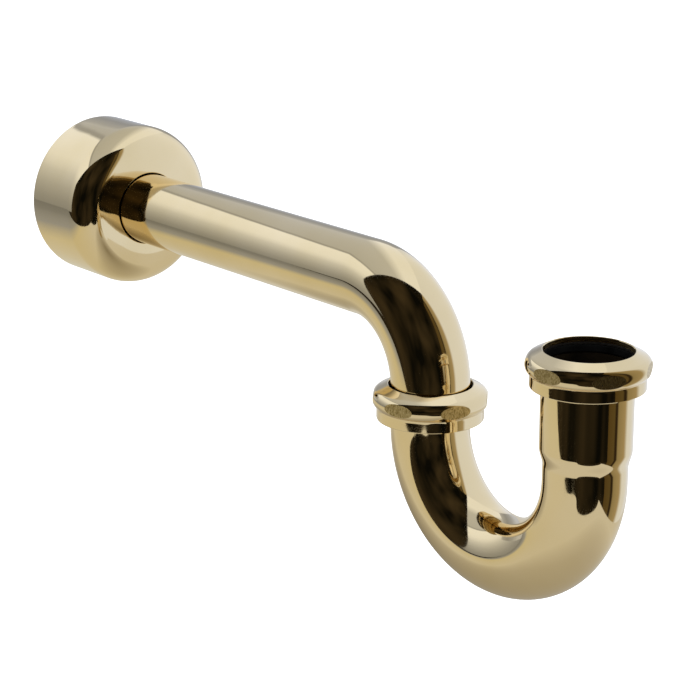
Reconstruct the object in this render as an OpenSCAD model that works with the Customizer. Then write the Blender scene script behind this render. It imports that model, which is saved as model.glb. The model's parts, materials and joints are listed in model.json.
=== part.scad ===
// Tubular brass P-trap with a box flange, for a 1-1/4 inch lavatory drain.
// Frame: origin on the tube's axis at the wall, +Z up, +Y into the wall, the trap towards -Y.

/* [Tube] */
// Outside diameter of the drain tube
tube_od = 31.75; // [31.5:0.05:32]
// Wall thickness of the tube
tube_wall = 0.8; // [0.6:0.1:1]

/* [Wall tube] */
// Distance from the wall to the axis of the tube's vertical leg
reach = 235.5; // [215:0.5:300]
// Centreline radius of the tube's right-angle bend
elbow_r = 37.5; // [36:0.5:42]
// How far the spigot goes into the wall fitting, from the score line to the end
insert_depth = 17.5; // [12:0.5:18]

/* [Box flange] */
// Outside diameter of the flange
flange_od = 73; // [66:0.5:80]
// Depth of the flange, from its face to the wall
flange_depth = 41; // [39:0.5:46]
// Radius of the rounded edge round the flange's face
flange_corner = 11; // [6:0.5:14]
// Sheet thickness of the flange
flange_wall = 1; // [0.8:0.1:1.2]
// Length of the neck turned in round the flange's hole
neck_length = 3; // [2:0.1:3.5]
// Thickness of the rubber ring between the tube and the flange's hole
grip_wall = 1; // [0.8:0.1:1.4]

/* [J-bend] */
// Distance between the axes of the two legs
leg_spread = 86; // [84:0.5:110]
// Straight length of the outlet leg below its nut
outlet_straight = 2; // [1:0.5:10]
// Height of the inlet nut's top above the outlet nut's top
inlet_rise = 34.2; // [30:0.2:60]
// Outside diameter of the expanded inlet socket
socket_od = 34.6; // [34.5:0.1:34.8]
// Inside diameter of the expanded inlet socket
socket_id = 32.3; // [32.2:0.1:32.4]
// Length of the socket that shows below the inlet nut
socket_shown = 23.2; // [15:0.2:24]
// Length of the taper from the socket down to the plain tube
taper_length = 7.2; // [4:0.2:8]

/* [Slip nuts] */
// Largest diameter of the nut's rounded ring
nut_od = 46.8; // [46.6:0.1:47.4]
// Height of the nut
nut_height = 14.1; // [13.8:0.1:15]
// Radius of the ring's rounding
nut_round = 4.3; // [4:0.1:4.5]
// Height of the ring's widest line below the nut's top
nut_waist = 5.7; // [5.6:0.1:6.2]
// Diameter of the plain skirt below the ring
skirt_od = 43; // [42.6:0.1:43.2]
// Distance across the wrench flats
nut_flats = 45; // [44.8:0.1:45.4]
// Diameter of the hole that the tube passes through
nut_hole = 33.6; // [33.4:0.1:33.8]
// Thickness of the lip round that hole
nut_lip = 2.1; // [2:0.1:2.2]
// Turn of the outlet nut's flats about its axis, in degrees
outlet_nut_turn = 14.4; // [0:0.1:60]
// Turn of the inlet nut's flats about its axis, in degrees
inlet_nut_turn = 3.4; // [0:0.1:60]

/* [Threads and seals] */
// Outside diameter of the thread on the end collars
thread_od = 39; // [38.8:0.1:39.2]
// Pitch of the thread, 11.5 to the inch
thread_pitch = 2.209; // [2:0.001:2.4]
// Depth of the thread
thread_depth = 0.8; // [0.5:0.1:0.8]
// Thickness of the friction ring under the nut's lip
friction_height = 0.8; // [0.6:0.1:1]
// Thickness of the rubber slip washer
washer_height = 2.9; // [2.6:0.1:3]

/* [Hidden] */
$fn = 96;

// Gap left between faces that slide, and round the brazed collars
slide_gap = 0.05;
// How far a cutting shape runs past the face that it cuts
over = 1;
chamfer = 0.4;

tube_r = tube_od / 2;
bore_r = tube_r - tube_wall;
socket_r = socket_od / 2;
socket_bore_r = socket_id / 2;
thread_r = thread_od / 2;
hole_r = nut_hole / 2;

// The score line is a shallow ring cut round the spigot
score_width = 1;
score_depth = 0.2;

// The bend begins just inside the outlet nut's top
bend_inside_nut = 1.65;
outlet_top = bend_inside_nut - elbow_r;
inlet_top = outlet_top + inlet_rise;
inlet_y = -reach - leg_spread;
u_top = outlet_top - nut_height - outlet_straight;
u_r = leg_spread / 2;

// The stack under each nut's top: lip, friction ring, washer, then the collar's mouth
friction_top = nut_lip + slide_gap;
washer_top = friction_top + friction_height + 2 * slide_gap;
mouth = washer_top + washer_height + slide_gap;
collar_end = nut_height - 0.2;
seal_r = thread_r - 1;
chamber_r = seal_r + 0.3;
chamber_end = mouth - 0.4;
friction_bore_r = hole_r - 0.3;
washer_bore_r = hole_r - 0.4;

// The wall tube ends just short of a ledge in the outlet collar, and the J-bend's end meets it from below
outlet_socket_r = tube_r + 0.325;
ledge_top = collar_end - 2.4;
ledge_height = 0.5;
ledge_r = tube_r - 0.675;
tube_end = outlet_top - ledge_top + 0.3;

// The wall nut waits inside the flange, round the spigot's root
wall_nut_top = -30;

// Running fit of the rubber ring on the tube
grip_fit = 0.075;
grip_r = tube_r + grip_fit + grip_wall;
neck_r = grip_r + slide_gap;

// The nut's thread clears the collar's, so that a nut can be drawn straight off
nut_bore_r = thread_r + 0.3;
flat_count = 6;
lip_flat = 0.4;

// The cone on the nut's top runs from the edge of the lip into the ring's rounding, and crosses its surface
cone_start = [hole_r + lip_flat, 0];
cone_sink = 0.05;
round_centre = [nut_od / 2 - nut_round, -nut_waist];
to_centre = round_centre - cone_start;
cone_reach = nut_round - cone_sink;
cone_angle = atan2(to_centre.y, to_centre.x) + asin(cone_reach / norm(to_centre));
cone_length = sqrt(norm(to_centre) ^ 2 - cone_reach ^ 2);
cone_end = cone_start + cone_length * [cos(cone_angle), sin(cone_angle)];

BRASS = [0.80, 0.71, 0.50];
PLAIN_BRASS = [0.68, 0.56, 0.32];
RUBBER = [0.06, 0.06, 0.06];
FIBRE = [0.13, 0.11, 0.09];

// A smooth step from 0 to 1
function ease(t) = (1 - cos(180 * t)) / 2;

// A straight-sided ring from z = 0 up to the given height
module ring(outer, inner, height) {
    rotate_extrude()
        translate([inner, 0])
            square([outer - inner, height]);
}

// A ring whose four edges are chamfered
module eased_ring(outer, inner, height, ease_by) {
    rotate_extrude()
        polygon([
            [inner, ease_by], [inner + ease_by, 0], [outer - ease_by, 0], [outer, ease_by],
            [outer, height - ease_by], [outer - ease_by, height], [inner + ease_by, height],
            [inner, height - ease_by]
        ]);
}

// Ring-shaped V cuts that stand for the thread, from z = 0 down, opening outward or inward
module thread_cuts(crest_r, depth, length) {
    turns = floor((length - 2 * chamfer) / thread_pitch);
    half_cut = thread_pitch * 0.38;
    first = (length - turns * thread_pitch) / 2 + thread_pitch / 2;
    back = crest_r - sign(depth) * over / 4;
    for (i = [0 : turns - 1])
        translate([0, 0, -first - i * thread_pitch])
            rotate_extrude()
                polygon([
                    [back, half_cut], [crest_r, half_cut], [crest_r + depth, 0],
                    [crest_r, -half_cut], [back, -half_cut]
                ]);
}

// A stretch of bent bar about the x axis: a centreline radius, a first angle and a sweep
module bent_bar(r, bend_r, first, sweep) {
    rotate([0, 90, 0])
        rotate_extrude(angle = sweep, start = first)
            translate([bend_r, 0])
                circle(r = r);
}

// The wall tube's course as a solid bar that may run past both ends
module wall_tube_bar(r, past) {
    translate([0, elbow_r - reach, 0])
        rotate([-90, 0, 0])
            cylinder(r = r, h = reach - elbow_r + past);
    translate([0, elbow_r - reach, -elbow_r])
        bent_bar(r, elbow_r, 180, 90);
    translate([0, -reach, tube_end - past])
        cylinder(r = r, h = -elbow_r - tube_end + past);
}

module wall_tube() {
    color(BRASS)
        difference() {
            wall_tube_bar(tube_r, 0);
            wall_tube_bar(bore_r, over);
            translate([0, -insert_depth, 0])
                rotate([90, 0, 0])
                    ring(tube_r + over, tube_r - score_depth, score_width);
        }
}

// The J-bend's course from the outlet's end, round the U and up the inlet leg
module j_bend_bar(r, past) {
    outlet_end = outlet_top - ledge_top - ledge_height;
    translate([0, -reach, u_top])
        cylinder(r = r, h = outlet_end - u_top + past);
    translate([0, -reach - u_r, u_top])
        bent_bar(r, u_r, -90, 180);
    translate([0, inlet_y, u_top])
        cylinder(r = r, h = taper_base() - u_top);
}

function taper_base() = inlet_top - nut_height - socket_shown - taper_length;

// The taper and the socket as a solid of revolution, from the plain radius out to the socket's
module socket_bar(plain, wide, past) {
    steps = 10;
    taper = [
        for (i = [0 : steps])
            [plain + (wide - plain) * ease(i / steps), taper_length * i / steps]
    ];
    socket_end = inlet_top - mouth - taper_base() + past;
    translate([0, inlet_y, taper_base()])
        rotate_extrude()
            polygon(concat([[0, 0]], taper, [[wide, socket_end], [0, socket_end]]));
}

module j_bend() {
    color(BRASS)
        difference() {
            union() {
                j_bend_bar(tube_r, 0);
                socket_bar(tube_r, socket_r, 0);
            }
            j_bend_bar(bore_r, over);
            socket_bar(bore_r, socket_bore_r, over);
        }
}

// A threaded collar hanging from z = 0, where its mouth is
module collar_blank(bore) {
    length = collar_end - mouth;
    difference() {
        translate([0, 0, -length])
            eased_ring(thread_r, bore, length, chamfer);
        thread_cuts(thread_r, -thread_depth, length);
    }
}

module outlet_thread_collar() {
    color(PLAIN_BRASS)
        translate([0, -reach, outlet_top - mouth])
            difference() {
                collar_blank(ledge_r);
                translate([0, 0, mouth - ledge_top])
                    cylinder(r = outlet_socket_r, h = ledge_top);
                translate([0, 0, mouth - ledge_top - ledge_height - nut_height])
                    cylinder(r = tube_r + slide_gap, h = nut_height);
            }
}

module inlet_thread_collar() {
    color(PLAIN_BRASS)
        translate([0, inlet_y, inlet_top - mouth])
            collar_blank(socket_r + slide_gap);
}

// The nut's outside as a solid: lip, cone and skirt, with the rounded ring about its waist
module nut_blank() {
    rotate_extrude()
        polygon([
            [0, 0], cone_start, cone_end, round_centre, [skirt_od / 2, -nut_waist],
            [skirt_od / 2, chamfer - nut_height], [skirt_od / 2 - chamfer, -nut_height],
            [0, -nut_height]
        ]);
    translate([0, 0, -nut_waist])
        rotate_extrude()
            translate([round_centre.x, 0])
                circle(r = nut_round);
}

// A slip nut hanging from z = 0, with its wrench flats turned by the given angle
module slip_nut(turn) {
    color(BRASS)
        difference() {
            nut_blank();
            translate([0, 0, -nut_height])
                cylinder(r = hole_r, h = nut_height + over);
            translate([0, 0, -nut_height])
                cylinder(r = chamber_r, h = nut_height - nut_lip);
            translate([0, 0, -nut_height - over])
                cylinder(r = nut_bore_r, h = nut_height - chamber_end + over);
            translate([0, 0, -mouth])
                thread_cuts(nut_bore_r, thread_depth, nut_height - mouth);
            for (i = [0 : flat_count - 1])
                rotate([0, 0, turn + i * 360 / flat_count])
                    translate([nut_flats / 2, -nut_od / 2, -nut_height])
                        cube([nut_od / 2, nut_od, nut_height]);
        }
}

module friction_ring() {
    color(FIBRE)
        translate([0, 0, -friction_top - friction_height])
            ring(seal_r, friction_bore_r, friction_height);
}

module slip_washer() {
    color(RUBBER)
        translate([0, 0, -washer_top - washer_height])
            eased_ring(seal_r, washer_bore_r, washer_height, chamfer);
}

// Turns a fitting that hangs from z = 0 so that it faces the wall from the given y
module towards_wall(y) {
    translate([0, y, 0])
        rotate([90, 0, 0])
            children();
}

module wall_nut() {
    towards_wall(wall_nut_top) slip_nut(0);
}

module wall_friction_ring() {
    towards_wall(wall_nut_top) friction_ring();
}

module wall_washer() {
    towards_wall(wall_nut_top) slip_washer();
}

module outlet_nut() {
    translate([0, -reach, outlet_top]) slip_nut(outlet_nut_turn);
}

module outlet_friction_ring() {
    translate([0, -reach, outlet_top]) friction_ring();
}

module outlet_washer() {
    translate([0, -reach, outlet_top]) slip_washer();
}

module inlet_nut() {
    translate([0, inlet_y, inlet_top]) slip_nut(inlet_nut_turn);
}

module inlet_friction_ring() {
    translate([0, inlet_y, inlet_top]) friction_ring();
}

module inlet_washer() {
    translate([0, inlet_y, inlet_top]) slip_washer();
}

// Half section of a filled cup with a rounded far edge
module cup_section(r, depth, corner) {
    square([r, depth - corner]);
    square([r - corner, depth]);
    translate([r - corner, depth - corner])
        circle(r = corner);
}

module box_flange() {
    outer = flange_od / 2;
    color(BRASS)
        towards_wall(0)
            rotate_extrude()
                difference() {
                    union() {
                        difference() {
                            cup_section(outer, flange_depth, flange_corner);
                            cup_section(outer - flange_wall, flange_depth - flange_wall,
                                flange_corner - flange_wall);
                        }
                        translate([0, flange_depth - flange_wall - neck_length])
                            square([neck_r + flange_wall, neck_length + flange_wall / 2]);
                    }
                    square([neck_r, flange_depth + over]);
                }
}

module flange_grip_ring() {
    grip_length = neck_length + flange_wall - 2 * chamfer;
    color(RUBBER)
        towards_wall(chamfer - flange_depth + grip_length)
            eased_ring(grip_r, tube_r + grip_fit, grip_length, chamfer / 2);
}

wall_tube();
wall_washer();
wall_friction_ring();
wall_nut();
flange_grip_ring();
box_flange();
j_bend();
outlet_thread_collar();
inlet_thread_collar();
outlet_washer();
outlet_friction_ring();
outlet_nut();
inlet_washer();
inlet_friction_ring();
inlet_nut();
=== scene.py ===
import json
import math

import bpy
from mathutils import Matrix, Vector


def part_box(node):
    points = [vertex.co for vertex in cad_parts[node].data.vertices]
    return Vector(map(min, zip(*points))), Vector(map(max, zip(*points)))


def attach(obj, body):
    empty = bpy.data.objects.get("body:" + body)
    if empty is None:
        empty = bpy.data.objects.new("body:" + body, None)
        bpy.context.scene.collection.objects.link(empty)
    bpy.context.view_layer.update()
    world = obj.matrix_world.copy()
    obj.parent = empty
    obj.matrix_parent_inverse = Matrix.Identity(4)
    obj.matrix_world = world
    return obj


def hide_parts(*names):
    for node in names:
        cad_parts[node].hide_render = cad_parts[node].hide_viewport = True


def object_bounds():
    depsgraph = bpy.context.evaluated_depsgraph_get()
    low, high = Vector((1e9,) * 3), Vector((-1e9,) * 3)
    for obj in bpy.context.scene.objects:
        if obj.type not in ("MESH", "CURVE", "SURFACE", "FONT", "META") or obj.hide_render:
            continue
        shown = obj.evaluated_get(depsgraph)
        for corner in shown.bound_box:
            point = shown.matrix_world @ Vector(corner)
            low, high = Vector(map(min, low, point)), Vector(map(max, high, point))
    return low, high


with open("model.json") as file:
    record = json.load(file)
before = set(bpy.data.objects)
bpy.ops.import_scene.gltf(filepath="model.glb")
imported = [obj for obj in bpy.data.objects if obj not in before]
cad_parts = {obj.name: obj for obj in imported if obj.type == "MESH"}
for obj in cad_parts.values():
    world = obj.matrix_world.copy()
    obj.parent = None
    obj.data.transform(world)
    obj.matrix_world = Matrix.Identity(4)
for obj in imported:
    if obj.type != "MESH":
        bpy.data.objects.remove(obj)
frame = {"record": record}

MM = 0.001
TAU = 2 * math.pi

cad_low, cad_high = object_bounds()
centre = (Vector(cad_low) + Vector(cad_high)) / 2


# ---------------------------------------------------------------- camera

VIEW_AZIMUTH = math.radians(-39.54)
VIEW_ELEVATION = math.radians(16.97)
VIEW_DISTANCE = 0.8856
LENS = 111.35
AIM_OFFSET = Vector((-5.6, -19.7, 5.9)) * MM

# Level directions as the camera sees them: to its right, and from the part towards it
RIGHTWARD = Vector((math.cos(VIEW_AZIMUTH), math.sin(VIEW_AZIMUTH), 0))
FORWARD = Vector((math.sin(VIEW_AZIMUTH), -math.cos(VIEW_AZIMUTH), 0))


def make_camera():
    back = FORWARD * math.cos(VIEW_ELEVATION) + Vector((0, 0, math.sin(VIEW_ELEVATION)))
    data = bpy.data.cameras.new("camera")
    data.sensor_width = 36
    data.lens = LENS
    data.clip_end = 50
    camera = bpy.data.objects.new("camera", data)
    camera.location = centre + AIM_OFFSET + back * VIEW_DISTANCE
    camera.rotation_euler = back.to_track_quat("Z", "Y").to_euler()
    bpy.context.scene.collection.objects.link(camera)
    bpy.context.scene.camera = camera


# ---------------------------------------------------------------- node helpers

def new_material(name):
    material = bpy.data.materials.new(name)
    material.use_nodes = True
    tree = material.node_tree
    return material, tree, tree.nodes["Principled BSDF"]


def add_node(tree, kind, **settings):
    node = tree.nodes.new(kind)
    for key, value in settings.items():
        if key in node.inputs:
            node.inputs[key].default_value = value
        else:
            setattr(node, key, value)
    return node


def noise(tree, coords, scale, detail=2.0, stretch=(1, 1, 1)):
    """A noise texture in the piece's own coordinates, which are metres."""
    mapping = add_node(tree, "ShaderNodeMapping")
    mapping.inputs["Scale"].default_value = stretch
    tree.links.new(coords, mapping.inputs["Vector"])
    texture = add_node(tree, "ShaderNodeTexNoise")
    texture.inputs["Scale"].default_value = scale
    texture.inputs["Detail"].default_value = detail
    tree.links.new(mapping.outputs["Vector"], texture.inputs["Vector"])
    return texture.outputs["Fac"]


def object_coords(tree):
    return add_node(tree, "ShaderNodeTexCoord").outputs["Object"]


def grain_coords(tree):
    """Coordinates drawn out along the way a piece was polished: along a tube, and round a turned piece."""
    node = add_node(tree, "ShaderNodeAttribute")
    node.attribute_name = "grain"
    return node.outputs["Vector"]


def ramp(tree, source, stops):
    node = add_node(tree, "ShaderNodeValToRGB")
    elements = node.color_ramp.elements
    while len(elements) < len(stops):
        elements.new(0.5)
    for element, (at, colour) in zip(elements, stops):
        element.position = at
        element.color = (*colour, 1)
    tree.links.new(source, node.inputs["Fac"])
    return node.outputs["Color"]


def grey(value):
    return (value, value, value)


def bump(tree, height, strength, distance, previous=None):
    node = add_node(tree, "ShaderNodeBump")
    node.inputs["Strength"].default_value = strength
    node.inputs["Distance"].default_value = distance
    tree.links.new(height, node.inputs["Height"])
    if previous is not None:
        tree.links.new(previous, node.inputs["Normal"])
    return node.outputs["Normal"]


# ---------------------------------------------------------------- materials

def polished_brass(name="polished_brass", wave=0.0006):
    """Mirror-polished, lacquered brass: faint tone drift, polishing marks and a slight waviness."""
    material, tree, shader = new_material(name)
    coords, grain = object_coords(tree), grain_coords(tree)
    tone = ramp(tree, noise(tree, coords, 22, 3),
                [(0.32, (0.80, 0.635, 0.345)), (0.68, (0.86, 0.70, 0.425))])
    tree.links.new(tone, shader.inputs["Base Color"])
    marks = noise(tree, grain, 1400, 3)
    tree.links.new(ramp(tree, marks, [(0.35, grey(0.035)), (0.72, grey(0.085))]), shader.inputs["Roughness"])
    waves = bump(tree, noise(tree, coords, 48, 1), 0.10, wave)
    drawn = bump(tree, noise(tree, grain, 420, 2), 0.08, 0.00006, waves)
    fine = bump(tree, marks, 0.03, 0.00003, drawn)
    tree.links.new(fine, shader.inputs["Normal"])
    shader.inputs["Metallic"].default_value = 1
    shader.inputs["Coat Weight"].default_value = 0.30
    shader.inputs["Coat Roughness"].default_value = 0.03
    return material


def brushed_flat():
    """The nuts' wrench flats, left with the grain of the milling cutter."""
    material, tree, shader = new_material("brushed_flat")
    coords = object_coords(tree)
    grain = noise(tree, coords, 1900, 4, (1, 1, 0.55))
    tone = ramp(tree, grain, [(0.34, (0.42, 0.30, 0.11)), (0.66, (0.82, 0.66, 0.34))])
    tree.links.new(tone, shader.inputs["Base Color"])
    tree.links.new(ramp(tree, grain, [(0.3, grey(0.46)), (0.7, grey(0.26))]), shader.inputs["Roughness"])
    tree.links.new(bump(tree, grain, 0.6, 0.00010), shader.inputs["Normal"])
    shader.inputs["Metallic"].default_value = 1
    return material


def plain_brass():
    """Machined brass under no polish: the collars and the nuts' insides."""
    material, tree, shader = new_material("plain_brass")
    coords = object_coords(tree)
    tone = ramp(tree, noise(tree, coords, 120, 4), [(0.3, (0.40, 0.28, 0.11)), (0.7, (0.62, 0.47, 0.22))])
    tree.links.new(tone, shader.inputs["Base Color"])
    tool_marks = noise(tree, grain_coords(tree), 1800, 2)
    tree.links.new(ramp(tree, tool_marks, [(0.3, grey(0.26)), (0.7, grey(0.44))]), shader.inputs["Roughness"])
    tree.links.new(bump(tree, tool_marks, 0.3, 0.00004), shader.inputs["Normal"])
    shader.inputs["Metallic"].default_value = 1
    return material


def bore_brass():
    """The inside of the tubes: dull drawn brass whose near-black colour is painted shade, standing in for the
    shade down the bore.
    """
    material, tree, shader = new_material("bore_brass")
    coords = object_coords(tree)
    stains = noise(tree, coords, 90, 5)
    # Painted shade: the bore's tone is kept near black for the shade inside the tube
    tone = ramp(tree, stains, [(0.3, (0.012, 0.009, 0.006)), (0.75, (0.045, 0.031, 0.016))])
    tree.links.new(tone, shader.inputs["Base Color"])
    tree.links.new(ramp(tree, stains, [(0.3, grey(0.66)), (0.7, grey(0.50))]), shader.inputs["Roughness"])
    tree.links.new(bump(tree, noise(tree, coords, 700, 3), 0.3, 0.0001), shader.inputs["Normal"])
    shader.inputs["Metallic"].default_value = 0.8
    return material


def black_rubber():
    """Moulded black rubber with a faint bloom, coloured darker than rubber is as painted shade for the
    hollows of the nuts and flange.
    """
    material, tree, shader = new_material("black_rubber")
    coords = object_coords(tree)
    bloom = noise(tree, coords, 160, 4)
    # Painted shade: almost black, darker than the rubber itself, for the shade in the nut openings and round
    # the tube in the flange
    tree.links.new(ramp(tree, bloom, [(0.3, grey(0.002)), (0.75, grey(0.005))]), shader.inputs["Base Color"])
    tree.links.new(ramp(tree, bloom, [(0.3, grey(0.60)), (0.7, grey(0.80))]), shader.inputs["Roughness"])
    tree.links.new(bump(tree, noise(tree, coords, 2400, 2), 0.35, 0.00006), shader.inputs["Normal"])
    shader.inputs["Specular IOR Level"].default_value = 0.05
    return material


def black_fibre():
    """Vulcanised fibre: pressed paper with short flecks lying in its plane."""
    material, tree, shader = new_material("black_fibre")
    flecks = noise(tree, object_coords(tree), 1100, 4, (1, 0.4, 2.5))
    tone = ramp(tree, flecks, [(0.35, (0.004, 0.0035, 0.003)), (0.75, (0.014, 0.012, 0.010))])
    tree.links.new(tone, shader.inputs["Base Color"])
    tree.links.new(ramp(tree, flecks, [(0.3, grey(0.65)), (0.7, grey(0.85))]), shader.inputs["Roughness"])
    tree.links.new(bump(tree, flecks, 0.4, 0.00008), shader.inputs["Normal"])
    shader.inputs["Specular IOR Level"].default_value = 0.08
    return material


# ---------------------------------------------------------------- mesh helpers

# How far the grain is drawn out: round a turned piece's axis, and along a tube
ROUND_SQUEEZE = 0.12
LENGTH_SQUEEZE = 0.06


def link_mesh(name, points, faces, materials, grain, face_material=None, crease=30):
    """A shaded mesh object. face_material gives each face's material number; crease is in degrees."""
    mesh = bpy.data.meshes.new(name)
    mesh.from_pydata(points, [], faces)
    mesh.validate()
    mesh.update()
    layer = mesh.attributes.new("grain", "FLOAT_VECTOR", "POINT")
    layer.data.foreach_set("vector", [value for vector in grain for value in vector])
    for material in materials:
        mesh.materials.append(material)
    if face_material is not None:
        mesh.polygons.foreach_set("material_index", face_material)
    mesh.shade_smooth()
    mesh.set_sharp_from_angle(angle=math.radians(crease))
    obj = bpy.data.objects.new(name, mesh)
    bpy.context.scene.collection.objects.link(obj)
    return obj


def grid_faces(rows, columns, close_rows):
    """Quads between rows of points that each close on themselves round an axis."""
    faces = []
    last = rows if close_rows else rows - 1
    for i in range(last):
        here = i * columns
        there = (i + 1) % rows * columns
        for j in range(columns):
            k = (j + 1) % columns
            faces.append((here + j, here + k, there + k, there + j))
    return faces


def arc(cx, cy, r, start, end, steps):
    """Points of an arc, angles in degrees."""
    return [(cx + r * math.cos(math.radians(start + (end - start) * i / steps)),
             cy + r * math.sin(math.radians(start + (end - start) * i / steps)))
            for i in range(steps + 1)]


def rounded(profile, radius, steps=4):
    """A closed profile with every corner rounded off, by up to the given radius."""
    result = []
    count = len(profile)
    for i, here in enumerate(profile):
        p = Vector(here)
        before = Vector(profile[i - 1]) - p
        after = Vector(profile[(i + 1) % count]) - p
        cut = min(radius, before.length / 2.2, after.length / 2.2)
        a = p + before.normalized() * cut
        b = p + after.normalized() * cut
        for s in range(steps + 1):
            t = s / steps
            q = a * (1 - t) ** 2 + p * 2 * t * (1 - t) + b * t ** 2
            result.append((q.x, q.y))
    return result


def ring_profile(inner, outer, low, high, radius):
    """The section of a plain ring, with its corners rounded."""
    return rounded([(inner, low), (outer, low), (outer, high), (inner, high)], radius)


def hanging(x, y, z):
    """Places a turned piece whose axis points up at the given spot. The profile's height is z."""
    return lambda px, py, pz: (x + px, y + py, z + pz)


def facing_wall(y):
    """Places a turned piece whose top faces away from the wall."""
    return lambda px, py, pz: (px, y - pz, py)


def turned_grain(r, h, angle):
    """Grain coordinates of a point on a turned piece, drawn out round its axis."""
    squeeze = ROUND_SQUEEZE * r * MM
    return (squeeze * math.cos(angle), squeeze * math.sin(angle), (h + r) * MM)


def lathe(name, profile, place, materials, columns=192, crease=30):
    """A closed profile of (radius, height) in mm, turned about its axis."""
    points, grain = [], []
    for r, h in profile:
        for j in range(columns):
            angle = TAU * j / columns
            points.append(place(r * MM * math.cos(angle), r * MM * math.sin(angle), h * MM))
            grain.append(turned_grain(r, h, angle))
    faces = grid_faces(len(profile), columns, True)
    return link_mesh(name, points, faces, materials, grain, crease=crease)


def swept_tube(name, stations, materials, columns=160):
    """A hollow tube in the plane of the bends, with rounded ends.

    Each station is (y, z, tangent angle, outer radius, inner radius), in mm and radians.
    """
    shells = []
    y0, z0, turn0, outer0, inner0 = stations[0]
    y1, z1, turn1, outer1, inner1 = stations[-1]
    for y, z, turn, outer, inner in stations:
        shells.append((y, z, turn, outer, 0))
    wall = (outer1 - inner1) / 2
    for i in range(1, 8):
        a = math.pi * i / 8
        shells.append((y1, z1, turn1, inner1 + wall + wall * math.cos(a), 0.35 * wall * (math.sin(a) - 1)))
    for y, z, turn, outer, inner in reversed(stations):
        shells.append((y, z, turn, inner, 0))
    wall = (outer0 - inner0) / 2
    for i in range(1, 8):
        a = math.pi * i / 8
        shells.append((y0, z0, turn0, inner0 + wall - wall * math.cos(a), 0.35 * wall * (1 - math.sin(a))))
    ends = {len(stations) - 1: -0.35 * wall, len(stations) + 7: -0.35 * wall}
    ends[0] = 0.35 * wall
    ends[2 * len(stations) + 6] = 0.35 * wall
    points, grain = [], []
    travel, last = 0, None
    for i, (y, z, turn, r, shift) in enumerate(shells):
        shift = ends.get(i, shift)
        ty, tz = math.cos(turn), math.sin(turn)
        y, z = y + shift * ty, z + shift * tz
        if last:
            travel += math.hypot(y - last[0], z - last[1])
        last = (y, z)
        for j in range(columns):
            angle = TAU * j / columns
            across, along = r * math.cos(angle), r * math.sin(angle)
            points.append((across * MM, (y - along * tz) * MM, (z + along * ty) * MM))
            grain.append((across * MM, along * MM, LENGTH_SQUEEZE * travel * MM))
    faces = grid_faces(len(shells), columns, True)
    inside = range(len(stations) + 7, 2 * len(stations) + 6)
    chosen = [1 if i // columns in inside else 0 for i in range(len(faces))]
    return link_mesh(name, points, faces, materials, grain, chosen)


def finish_piece(obj, body, node):
    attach(obj, body)
    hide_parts(node)
    return obj


# ---------------------------------------------------------------- sizes, in mm

# From the frame, except the few plain numbers: those repeat part.scad's, which the frame doesn't hold

def box_mm(node):
    low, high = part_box(node)
    return Vector(low) / MM, Vector(high) / MM


tube_low, tube_high = box_mm("wall_tube")
bend_low, bend_high = box_mm("j_bend")
nut_low, nut_high = box_mm("outlet_nut")
inlet_low, inlet_high = box_mm("inlet_nut")
wall_nut_low = box_mm("wall_nut")[0]
flange_low, flange_high = box_mm("box_flange")

MOUNTS = {m["name"]: m for m in frame["record"]["mounts"]}
TUBE_R = MOUNTS["wall_outlet"]["dims"]["r_mm"]
WALL = 0.8
BORE_R = TUBE_R - WALL
REACH = -(nut_low.y + nut_high.y) / 2
INLET_Y = (inlet_low.y + inlet_high.y) / 2
OUTLET_TOP = nut_high.z
INLET_TOP = inlet_high.z
NUT_H = nut_high.z - nut_low.z
NUT_TOP_Y = wall_nut_low.y
ELBOW_R = 37.5
U_R = (-INLET_Y - REACH) / 2
U_TOP = bend_low.z + U_R + TUBE_R
SOCKET_BORE_R = MOUNTS["inlet_socket"]["dims"]["r_mm"]
SOCKET_WALL = 1.15
SOCKET_R = SOCKET_BORE_R + SOCKET_WALL
SOCKET_MOUTH = MOUNTS["inlet_socket"]["pos_m"][2] / MM
TAPER_TOP = SOCKET_MOUTH - MOUNTS["inlet_socket"]["dims"]["length_mm"]
TAPER_LENGTH = 7.2

# Threads. Below a nut's top: MOUTH to its collar, LEDGE_TOP and LEDGE_LOW to the tube's stop, COLLAR_END to
# the collar's foot
PITCH = 2.209
THREAD_R = 19.5
THREAD_DEPTH = 0.8
MOUTH = 6.0
LEDGE_TOP, LEDGE_LOW, LEDGE_R = 11.5, 12.0, 15.2
COLLAR_END = 13.9
COLLAR_BORE_R = 16.2
BRAZE_GAP = 0.05
NUT_THREAD_R = THREAD_R + 0.3
OUTLET_LEG_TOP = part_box("outlet_thread_collar")[1].z / MM - (LEDGE_LOW - MOUTH)

# The nuts' wrench flats: how far out, how many, and how far each nut is turned, in degrees
FLAT_R = 22.5
FLATS = 6
OUTLET_NUT_TURN, INLET_NUT_TURN, WALL_NUT_TURN = 14.4, 3.4, 0

# The flange's face is crowned and its lip rolled in. The CAD has a flat face and a straight neck
CROWN = 0.9
LIP_R, LIP_DEPTH = 16.35, 0.7
RING_SETBACK = LIP_DEPTH + 0.1

# The score line round the wall tube: its place from the wall end, its width and its depth
SCORE_AT, SCORE_WIDE, SCORE_DEEP = 17.5, 1.0, 0.2


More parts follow.
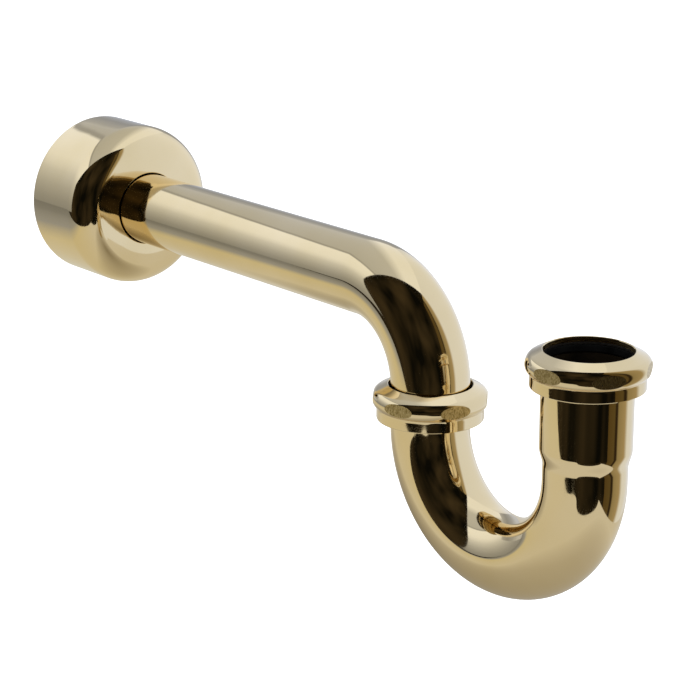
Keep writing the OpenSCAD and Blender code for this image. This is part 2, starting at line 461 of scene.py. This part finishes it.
def wall_tube_stations():
    stations = []
    end_y, end_z = tube_high.y, tube_low.z
    score_at = end_y - SCORE_AT
    score_end = score_at - SCORE_WIDE
    for y, r in [(end_y, TUBE_R), (score_at + 0.05, TUBE_R), (score_at - 0.1, TUBE_R - SCORE_DEEP),
                 (score_end + 0.1, TUBE_R - SCORE_DEEP), (score_end - 0.05, TUBE_R)]:
        stations.append((y, 0, -math.pi, r, BORE_R))
    bend_y = ELBOW_R - REACH
    straight = 24
    first = score_end - 1
    for i in range(straight):
        stations.append((first + (bend_y - first) * i / straight, 0, -math.pi, TUBE_R, BORE_R))
    turns = 72
    for i in range(turns + 1):
        a = math.pi / 2 * i / turns
        stations.append((bend_y - ELBOW_R * math.sin(a), -ELBOW_R + ELBOW_R * math.cos(a),
                         -math.pi + a, TUBE_R, BORE_R))
    for i in range(1, 7):
        stations.append((-REACH, -ELBOW_R + (end_z + ELBOW_R) * i / 6, -math.pi / 2, TUBE_R, BORE_R))
    return stations


def ease(t):
    return (1 - math.cos(math.pi * t)) / 2


def j_bend_stations():
    stations = []
    for i in range(5):
        stations.append((-REACH, OUTLET_LEG_TOP + (U_TOP - OUTLET_LEG_TOP) * i / 5, -math.pi / 2,
                         TUBE_R, BORE_R))
    turns = 120
    for i in range(turns + 1):
        a = math.pi * i / turns
        stations.append((-REACH - U_R + U_R * math.cos(a), U_TOP - U_R * math.sin(a),
                         -math.pi / 2 - a, TUBE_R, BORE_R))
    base = TAPER_TOP - TAPER_LENGTH
    for i in range(1, 5):
        stations.append((INLET_Y, U_TOP + (base - U_TOP) * i / 5, math.pi / 2, TUBE_R, BORE_R))
    steps = 32
    for i in range(steps + 1):
        t = i / steps
        stations.append((INLET_Y, base + TAPER_LENGTH * t, math.pi / 2,
                         TUBE_R + (SOCKET_R - TUBE_R) * ease(t), BORE_R + (SOCKET_BORE_R - BORE_R) * ease(t)))
    for i in range(1, 11):
        stations.append((INLET_Y, TAPER_TOP + (bend_high.z - TAPER_TOP) * i / 10, math.pi / 2,
                         SOCKET_R, SOCKET_BORE_R))
    return stations


# ---------------------------------------------------------------- turned pieces

def thread_height(phase):
    """A V thread with a flat on its crest and root: 1 at the crest and 0 at the root."""
    t = phase % 1
    return min(1, max(0, (abs(t - 0.5) - 0.08) / 0.30))


def threaded_lathe(name, profile, place, materials, threads, columns=216, crease=38):
    """As lathe, where the rows in threads = (first row, last row, depth) follow a helix."""
    first, last, depth = threads
    points, grain = [], []
    for i, (r, h) in enumerate(profile):
        for j in range(columns):
            angle = TAU * j / columns
            rr = r
            if first <= i <= last:
                fade = min(1, (i - first) / 6, (last - i) / 6)
                rr += depth * fade * (1 - thread_height(h / PITCH - j / columns))
            points.append(place(rr * MM * math.cos(angle), rr * MM * math.sin(angle), h * MM))
            grain.append(turned_grain(r, h, angle))
    faces = grid_faces(len(profile), columns, True)
    return link_mesh(name, points, faces, materials, grain, crease=crease)


def collar_profile(bore_top, bore_low, ledge=None):
    """Half section of a threaded collar that hangs from 0, with its helix rows first."""
    length = COLLAR_END - MOUTH
    rows = 56
    profile = [(THREAD_R, -0.4 - (length - 0.8) * i / rows) for i in range(rows + 1)]
    threads = (0, rows, -THREAD_DEPTH)
    profile += [(THREAD_R - 0.15, -length + 0.12), (THREAD_R - 0.5, -length)]
    if ledge:
        ledge_r, ledge_top, ledge_low = ledge
        profile += [(bore_low + 0.2, -length), (bore_low, -length + 0.2), (bore_low, ledge_low),
                    (ledge_r, ledge_low), (ledge_r, ledge_top), (bore_top, ledge_top)]
    else:
        profile += [(bore_low + 0.2, -length), (bore_low, -length + 0.2)]
    profile += [(bore_top, -0.25), (bore_top + 0.25, 0), (THREAD_R - 0.5, 0), (THREAD_R - 0.15, -0.12)]
    return profile, threads


def nut_outside():
    """The nut's outer line from the hole's edge down to the skirt's foot, hanging from 0."""
    hole_r, lip_flat = 16.8, 0.4
    big_r, rounding, waist = 23.4, 4.3, 5.7
    skirt_r = 21.5
    start = Vector((hole_r + lip_flat, 0))
    middle = Vector((big_r - rounding, -waist))
    to_middle = middle - start
    slope = math.atan2(to_middle.y, to_middle.x) + math.asin(rounding / to_middle.length)
    tangent = math.sqrt(to_middle.length ** 2 - rounding ** 2)
    end = start + tangent * Vector((math.cos(slope), math.sin(slope)))
    line = [(hole_r, -0.3), (hole_r + 0.1, -0.1), (hole_r + 0.28, 0.0), (start.x - 0.02, -0.004)]
    steps = 12
    for i in range(1, steps):
        t = i / steps
        line.append((start.x + (end.x - start.x) * t, start.y + (end.y - start.y) * t))
    first = math.degrees(slope) + 90
    last = -math.degrees(math.acos((skirt_r + 0.35 - middle.x) / rounding))
    line += arc(middle.x, middle.y, rounding, first, last, 44)
    foot = middle.y + rounding * math.sin(math.radians(last))
    line += [(skirt_r + 0.16, foot - 0.12), (skirt_r + 0.04, foot - 0.3), (skirt_r, foot - 0.6)]
    line += [(skirt_r, foot - 0.6 - (NUT_H + foot - 1.0) * t / 6) for t in range(1, 7)]
    line += [(skirt_r - 0.1, -NUT_H + 0.14), (skirt_r - 0.38, -NUT_H)]
    return line


def slip_nut(name, place, turn, polished, brushed, plain):
    """A slip nut that hangs from 0: smooth cone and ring, six small wrench flats, a threaded skirt."""
    outside = nut_outside()
    rows_out = len(outside)
    profile = list(outside)
    profile += [(NUT_THREAD_R + 0.5, -NUT_H), (NUT_THREAD_R + 0.1, -NUT_H + 0.25)]
    thread_first = len(profile)
    rows = 60
    top = -MOUTH + 0.4
    profile += [(NUT_THREAD_R, -NUT_H + 0.5 + (NUT_H - 0.5 + top) * i / rows) for i in range(rows + 1)]
    thread_last = len(profile) - 1
    profile += [(18.8, top), (18.8, -2.1), (16.8, -2.1)]
    per_flat, between = 14, 26
    columns = FLATS * (per_flat + between)
    points, grain = [], []
    least = math.radians(0.5)
    for i, (r, h) in enumerate(profile):
        half = least
        cut = i < rows_out and r > FLAT_R
        if cut:
            half = max(least, math.acos(FLAT_R / r))
        angles = []
        sector = TAU / FLATS
        for k in range(FLATS):
            mid = math.radians(turn) + k * sector
            for j in range(per_flat):
                angles.append((mid - half + 2 * half * j / per_flat, mid))
            for j in range(between):
                angles.append((mid + half + (sector - 2 * half) * j / between, mid))
        for angle, mid in angles:
            rr = r
            offset = abs((angle - mid + math.pi) % TAU - math.pi)
            if cut and offset <= half + 1e-6:
                rr = FLAT_R / math.cos(offset)
            if thread_first <= i <= thread_last:
                fade = min(1, (i - thread_first) / 6, (thread_last - i) / 6)
                rr += THREAD_DEPTH * fade * thread_height(h / PITCH - angle / TAU)
            points.append(place(rr * MM * math.cos(angle), rr * MM * math.sin(angle), h * MM))
            grain.append(turned_grain(r, h, angle))
    faces = grid_faces(len(profile), columns, True)
    chosen = []
    for i in range(len(faces)):
        row, column = divmod(i, columns)
        on_flat = column % (per_flat + between) < per_flat
        both = row + 1 < rows_out and outside[row][0] >= FLAT_R and outside[row + 1][0] >= FLAT_R
        if on_flat and both:
            chosen.append(1)
        elif row >= rows_out - 1:
            chosen.append(2)
        else:
            chosen.append(0)
    return link_mesh(name, points, faces, [polished, brushed, plain], grain, chosen, 9)


def flange_profile():
    """The box flange's half section, from the wall's plane (0) out to its slightly crowned face."""
    outer, depth, corner, wall = flange_high.x, -flange_low.y, 11.0, 1.0
    neck_r, neck, roll = 17.0, 3.0, 0.35
    shoulder = depth - CROWN
    line = arc(outer - 0.5, 0.5, 0.5, -90, 0, 6)
    line += [(outer, 0.5 + (shoulder - corner - 0.5) * i / 16) for i in range(1, 16)]
    turned = arc(outer - corner, shoulder - corner, corner, 0, 90, 40)
    face_r = outer - corner
    for r, h in turned:
        t = max(0.0, 1 - (r - face_r) / corner)
        line.append((r, h + CROWN * 0.35 * t ** 3))
    inner_edge = LIP_R + roll
    for i in range(1, 25):
        t = i / 24
        rise = 0.35 + 0.65 * (1 - (1 - t) ** 2)
        line.append((face_r + (inner_edge - face_r) * t, shoulder + CROWN * rise))
    line += arc(inner_edge, depth - roll, roll, 90, 180, 8)[1:]
    line += [(LIP_R, depth - LIP_DEPTH), (neck_r, depth - LIP_DEPTH)]
    line += [(neck_r, depth - wall - neck + 0.3), (neck_r + 0.3, depth - wall - neck),
             (neck_r + wall - 0.3, depth - wall - neck), (neck_r + wall, depth - wall - neck + 0.3)]
    line += arc(neck_r + wall + 0.8, shoulder - wall - 0.8, 0.8, 180, 90, 6)
    line += arc(outer - corner, shoulder - corner, corner - wall, 90, 0, 32)
    line += [(outer - wall, 0.5)]
    line += arc(outer - 0.5, 0.5, 0.5, 180, 270, 6)[1:-1]
    return line


# ---------------------------------------------------------------- build

polished = polished_brass()
spun = polished_brass("spun_brass", 0.0018)
brushed = brushed_flat()
plain = plain_brass()
bore = bore_brass()
rubber = black_rubber()
fibre = black_fibre()

finish_piece(swept_tube("visible_wall_tube", wall_tube_stations(), [polished, bore]),
             "wall_tube", "wall_tube")
finish_piece(swept_tube("visible_j_bend", j_bend_stations(), [polished, bore]),
             "trap", "j_bend")

outlet_place = hanging(0, -REACH * MM, OUTLET_TOP * MM)
inlet_place = hanging(0, INLET_Y * MM, INLET_TOP * MM)
wall_place = facing_wall(NUT_TOP_Y * MM)

for node, place, turn in (("outlet_nut", outlet_place, OUTLET_NUT_TURN),
                          ("inlet_nut", inlet_place, INLET_NUT_TURN),
                          ("wall_nut", wall_place, WALL_NUT_TURN)):
    finish_piece(slip_nut(f"visible_{node}", place, turn, polished, brushed, plain),
                 node, node)

outlet_collar = collar_profile(COLLAR_BORE_R, TUBE_R + BRAZE_GAP,
                               (LEDGE_R, MOUTH - LEDGE_TOP, MOUTH - LEDGE_LOW))
inlet_collar = collar_profile(SOCKET_R + BRAZE_GAP, SOCKET_R + BRAZE_GAP)
for end, (profile, threads), y, top in (("outlet", outlet_collar, -REACH, OUTLET_TOP),
                                        ("inlet", inlet_collar, INLET_Y, INLET_TOP)):
    finish_piece(threaded_lathe(f"visible_{end}_collar", profile, hanging(0, y * MM, (top - MOUTH) * MM),
                                [plain], threads),
                 "trap", f"{end}_thread_collar")

finish_piece(lathe("visible_box_flange", flange_profile(), facing_wall(0), [spun], 256),
             "box_flange", "box_flange")

grip_low, grip_high = box_mm("flange_grip_ring")
grip_len = grip_high.y - grip_low.y - RING_SETBACK
grip_section = ring_profile(15.95, 16.95, 0, grip_len, 0.35)
finish_piece(lathe("visible_grip_ring", grip_section, facing_wall(grip_high.y * MM), [rubber]),
             "flange_grip_ring", "flange_grip_ring")

ring_section = ring_profile(16.5, 18.5, -2.95, -2.15, 0.12)
washer_section = ring_profile(16.4, 18.5, -5.95, -3.05, 0.5)
for end, place, washer_body in (("wall", wall_place, "wall_tube"), ("outlet", outlet_place, "outlet_washer"),
                                ("inlet", inlet_place, "trap")):
    finish_piece(lathe(f"visible_{end}_friction_ring", ring_section, place, [fibre]),
                 f"{end}_friction_ring", f"{end}_friction_ring")
    finish_piece(lathe(f"visible_{end}_washer", washer_section, place, [rubber]),
                 washer_body, f"{end}_washer")


# ---------------------------------------------------------------- studio

def emission(name, colour, strength):
    material = bpy.data.materials.new(name)
    material.use_nodes = True
    tree = material.node_tree
    tree.nodes.clear()
    glow = add_node(tree, "ShaderNodeEmission")
    glow.inputs["Color"].default_value = (*colour, 1)
    glow.inputs["Strength"].default_value = strength
    output = add_node(tree, "ShaderNodeOutputMaterial")
    tree.links.new(glow.outputs["Emission"], output.inputs["Surface"])
    return material, tree, glow


def stage_mesh(name, points, faces):
    """A mesh object for the stage, and its mesh."""
    mesh = bpy.data.meshes.new(name)
    mesh.from_pydata([tuple(point) for point in points], [], faces)
    obj = bpy.data.objects.new(name, mesh)
    bpy.context.scene.collection.objects.link(obj)
    return obj, mesh


def stage_point(right, front, up):
    """A point given in the camera's level directions from the wall end of the part, in metres."""
    return RIGHTWARD * right + FORWARD * front + Vector((0, 0, up))


def only_reflected(obj):
    """Marks a stage object that the camera and matt surfaces don't see, but polished ones do."""
    obj.visible_camera = False
    obj.visible_diffuse = False
    obj.visible_transmission = False
    obj.visible_volume_scatter = False
    obj.visible_shadow = False


def card(name, corners, stops, along="Y"):
    """A glowing card that only reflections see. stops run along its first edge (X) or its last (Y)."""
    obj, mesh = stage_mesh(name, [stage_point(*corner) for corner in corners], [tuple(range(len(corners)))])
    uv = mesh.uv_layers.new(name="UVMap")
    start, first, last = (Vector(corners[i]) for i in (0, 1, -1))
    for i, corner in enumerate(corners):
        offset = Vector(corner) - start
        uv.data[i].uv = [offset.dot(edge) / edge.length_squared for edge in (first - start, last - start)]
    material, tree, glow = emission(name, (1, 1, 1), 1)
    coords = add_node(tree, "ShaderNodeTexCoord")
    split = add_node(tree, "ShaderNodeSeparateXYZ")
    tree.links.new(coords.outputs["UV"], split.inputs["Vector"])
    tree.links.new(ramp(tree, split.outputs[along], stops), glow.inputs["Color"])
    mesh.materials.append(material)
    only_reflected(obj)


# The sides of the box of cards, in metres, as stage_point takes them. It is open at the front
LEFT, RIGHT_SIDE, BACK, FRONT = -0.85, 0.30, -0.60, 0.235
FLOOR, CEILING, RIGHT_FRONT = -0.128, 0.34, 0.345
DAYLIGHT = (0.93, 1.0, 1.16)


def cool(value):
    return tuple(value * c for c in DAYLIGHT)


def smooth_line(points, steps=8):
    """A Catmull-Rom line through (right, front) points."""
    line = []
    for i in range(len(points) - 1):
        p = [Vector(points[max(0, min(len(points) - 1, i + k))]) for k in (-1, 0, 1, 2)]
        for step in range(steps):
            t = step / steps
            line.append(0.5 * (2 * p[1] + (p[2] - p[0]) * t + (2 * p[0] - 5 * p[1] + 4 * p[2] - p[3]) * t ** 2
                               + (3 * p[1] - p[0] - 3 * p[2] + p[3]) * t ** 3))
    return line + [Vector(points[-1])]


# The table's front edge wanders, as a cloth's does, and draws in before the inlet leg
TABLE_EDGE = [(0.30, 0.400), (0.265, 0.372), (0.200, 0.366), (0.150, 0.380), (0.118, 0.420), (0.085, 0.425),
              (0.030, 0.380), (-0.060, 0.333), (-0.224, 0.253), (-0.50, 0.12), (LEFT, -0.05)]
card("table_card",
     [(LEFT, BACK, FLOOR), (RIGHT_SIDE, BACK, FLOOR)] + [(*edge, FLOOR) for edge in smooth_line(TABLE_EDGE)],
     [(0.0, cool(0.24)), (0.28, cool(0.27)), (0.50, cool(0.38)), (0.60, (0.66, 0.62, 0.46)),
      (0.80, (0.66, 0.65, 0.60)), (1.0, (0.67, 0.67, 0.66))], "X")


def contact_shadow():
    """The soft shadow that the part's reflection picks up from the table right under it."""
    columns = 64
    middle = Vector((0, -0.20, cad_low[2] - 0.012))
    half_width, half_length = 0.085, 0.22
    circle = [(math.cos(TAU * j / columns), math.sin(TAU * j / columns)) for j in range(columns)]
    points = [middle + Vector((half_width * x, half_length * y, 0)) for x, y in circle]
    obj, mesh = stage_mesh("contact_shadow", points, [tuple(range(columns))])
    uv = mesh.uv_layers.new(name="UVMap")
    for j, spot in enumerate(circle):
        uv.data[j].uv = spot
    material, tree, glow = emission("contact_shadow", (0.20, 0.17, 0.11), 1)
    gradient = add_node(tree, "ShaderNodeTexGradient", gradient_type="SPHERICAL")
    tree.links.new(add_node(tree, "ShaderNodeTexCoord").outputs["UV"], gradient.inputs["Vector"])
    cover = ramp(tree, gradient.outputs["Fac"], [(0.0, grey(0.0)), (0.30, grey(0.35)), (1.0, grey(0.85))])
    blend = add_node(tree, "ShaderNodeMixShader")
    tree.links.new(cover, blend.inputs["Fac"])
    tree.links.new(add_node(tree, "ShaderNodeBsdfTransparent").outputs["BSDF"], blend.inputs[1])
    tree.links.new(glow.outputs["Emission"], blend.inputs[2])
    tree.links.new(blend.outputs["Shader"], tree.nodes["Material Output"].inputs["Surface"])
    mesh.materials.append(material)
    only_reflected(obj)


contact_shadow()
card("ceiling_card", [(LEFT, BACK, CEILING), (RIGHT_SIDE, BACK, CEILING), (RIGHT_SIDE, FRONT, CEILING),
                      (LEFT, FRONT, CEILING)],
     [(0.0, cool(0.75)), (0.30, cool(1.0)), (0.53, cool(1.05)), (0.545, cool(0.42)), (0.56, cool(0.42)),
      (0.575, cool(0.56)), (0.80, cool(0.62)), (0.88, cool(1.0)), (1.0, cool(1.0))], "X")
card("left_card", [(LEFT, BACK, FLOOR), (LEFT, FRONT, FLOOR), (LEFT, FRONT, CEILING), (LEFT, BACK, CEILING)],
     [(0.0, cool(0.33)), (0.2, cool(0.38)), (0.55, cool(0.52)), (1.0, cool(0.75))], "Y")
card("right_card", [(RIGHT_SIDE, RIGHT_FRONT, FLOOR), (RIGHT_SIDE, BACK, FLOOR), (RIGHT_SIDE, BACK, CEILING),
                    (RIGHT_SIDE, RIGHT_FRONT, CEILING)],
     [(0.0, (0.09, 0.06, 0.02)), (0.045, (0.11, 0.08, 0.03)), (0.050, (0.03, 0.02, 0.01)),
      (0.060, (0.03, 0.02, 0.01)), (0.066, (0.30, 0.25, 0.14)), (0.105, (0.40, 0.33, 0.20)),
      (0.125, cool(0.85)), (0.6, cool(0.95)), (1.0, cool(0.8))], "X")
card("back_card", [(RIGHT_SIDE, BACK, FLOOR), (LEFT, BACK, FLOOR), (LEFT, BACK, CEILING),
                   (RIGHT_SIDE, BACK, CEILING)],
     [(0.0, cool(0.60)), (0.14, cool(0.62)), (0.37, cool(0.43)), (0.64, cool(0.35)), (0.9, cool(0.47)),
      (1.0, cool(0.6))], "Y")


def backdrop():
    """A wide pale floor and a pale dome, seen by the camera and by matt surfaces but not in the brass."""
    size, height = 9.0, cad_low[2] - 0.30
    corners = [(-size, -size, height), (size, -size, height), (size, size, height), (-size, size, height)]
    floor, floor_mesh = stage_mesh("floor", corners, [(0, 1, 2, 3)])
    material, tree, shader = new_material("pale_floor")
    mottle = noise(tree, object_coords(tree), 3, 2)
    tree.links.new(ramp(tree, mottle, [(0.3, grey(0.90)), (0.7, grey(0.92))]), shader.inputs["Base Color"])
    shader.inputs["Roughness"].default_value = 0.9
    shader.inputs["Emission Color"].default_value = (1, 1, 1, 1)
    shader.inputs["Emission Strength"].default_value = 0.55
    floor_mesh.materials.append(material)

    radius, rings, columns = 12.0, 24, 48
    points = []
    for i in range(rings + 1):
        tilt = math.pi * i / rings
        for j in range(columns):
            angle = TAU * j / columns
            across = radius * math.sin(tilt)
            points.append((across * math.cos(angle), across * math.sin(angle), radius * math.cos(tilt)))
    dome, dome_mesh = stage_mesh("dome", points, grid_faces(rings + 1, columns, False))
    dome_mesh.materials.append(emission("dome", (1, 1, 1), 1.0)[0])
    for obj in (floor, dome):
        obj.visible_glossy = False
        obj.visible_shadow = False


def soft_light(name, at, size, power):
    data = bpy.data.lights.new(name, "AREA")
    data.energy = power
    data.size = size
    light = bpy.data.objects.new(name, data)
    light.location = stage_point(*at)
    light.rotation_euler = (light.location - centre).to_track_quat("Z", "Y").to_euler()
    light.visible_glossy = False
    bpy.context.scene.collection.objects.link(light)


def dim_room():
    """Beyond the open front of the tent the room is almost dark."""
    world = bpy.data.worlds.new("room")
    bpy.context.scene.world = world
    world.use_nodes = True
    tree = world.node_tree
    background = tree.nodes["Background"]
    coords = add_node(tree, "ShaderNodeTexCoord")
    texture = add_node(tree, "ShaderNodeTexNoise")
    texture.inputs["Scale"].default_value = 1.6
    tree.links.new(coords.outputs["Generated"], texture.inputs["Vector"])
    gloom = ramp(tree, texture.outputs["Fac"], [(0.35, (0.004, 0.004, 0.003)), (0.7, (0.05, 0.037, 0.02))])
    tree.links.new(gloom, background.inputs["Color"])


backdrop()
dim_room()
soft_light("key_light", (-0.6, 0.5, 0.9), 0.8, 6)
soft_light("fill_light", (0.9, 0.4, 0.5), 0.8, 3)
make_camera()
bpy.context.scene.view_settings.view_transform = "Standard"
